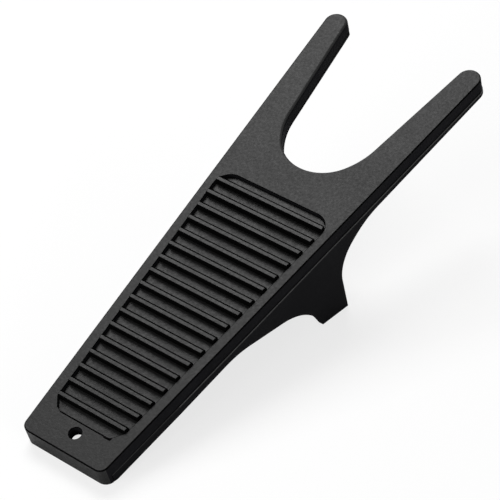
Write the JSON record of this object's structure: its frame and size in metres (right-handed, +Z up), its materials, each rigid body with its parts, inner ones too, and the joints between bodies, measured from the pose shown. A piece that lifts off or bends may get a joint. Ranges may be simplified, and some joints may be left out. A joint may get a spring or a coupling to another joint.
{
  "type": "boot jack",
  "caption": "Sloping boot jack: a tapered board with a U-shaped boot mouth, a ribbed tread, a hanging hole and one fixed stand.",
  "frame": {"origin": "on the floor, under the middle of the board's length and width", "axes": "+X across the board, +Y from the tail on the floor up to the fork tips, +Z up"},
  "size_m": [0.1144, 0.3305, 0.106],
  "materials": {
    "plate_plastic": "fine even grain on the top face, smoother sides",
    "tread_plastic": "fine even grain, a little lighter than the plate",
    "frame_plastic": "satin, smooth",
    "screw_steel": "plain zinc-plated steel"
  },
  "bodies": {
    "root": {"top_plate": "plate_plastic", "tread_insert": "tread_plastic", "lower_frame": "frame_plastic", "fork_frame_left": "frame_plastic", "fork_frame_right": "frame_plastic", "cross_wall": "frame_plastic", "screws": "screw_steel"}
  },
  "joints": []
}
